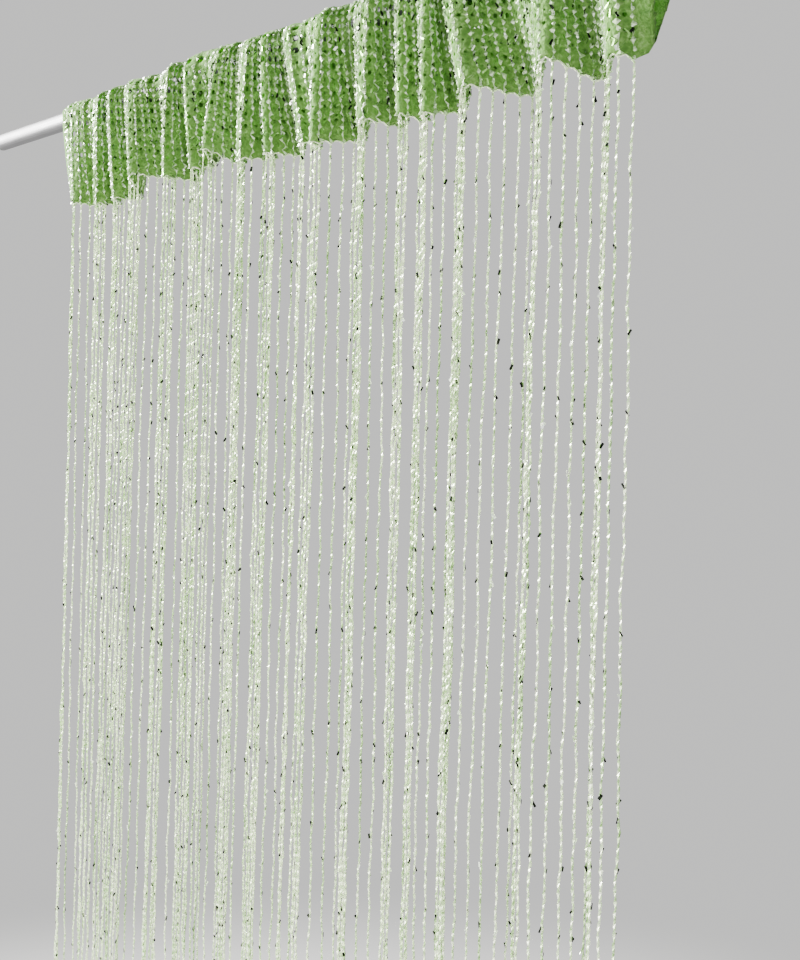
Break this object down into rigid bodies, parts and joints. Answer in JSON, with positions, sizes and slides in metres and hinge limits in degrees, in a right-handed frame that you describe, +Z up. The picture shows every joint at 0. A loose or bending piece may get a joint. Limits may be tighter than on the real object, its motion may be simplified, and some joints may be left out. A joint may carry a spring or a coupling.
{
  "type": "tinsel door curtain with rod",
  "caption": "String curtain of tinsel yarn hanging from a gathered net header on a plain round rod.",
  "frame": {"origin": "centre of the rod's left end face, as seen from the front", "axes": "+X along the rod to the right, +Y away from the viewer, +Z up; the front faces -Y"},
  "size_m": [0.9, 0.0434, 2.0037],
  "materials": {
    "rod_metal": "satin silver-grey",
    "header_net": "sheer light-green net with tinsel",
    "string_yarn": "twisted pale-green yarn with foil flecks"
  },
  "bodies": {
    "root": {"rod": "rod_metal", "header": "header_net", "fringe": "string_yarn"}
  },
  "joints": []
}
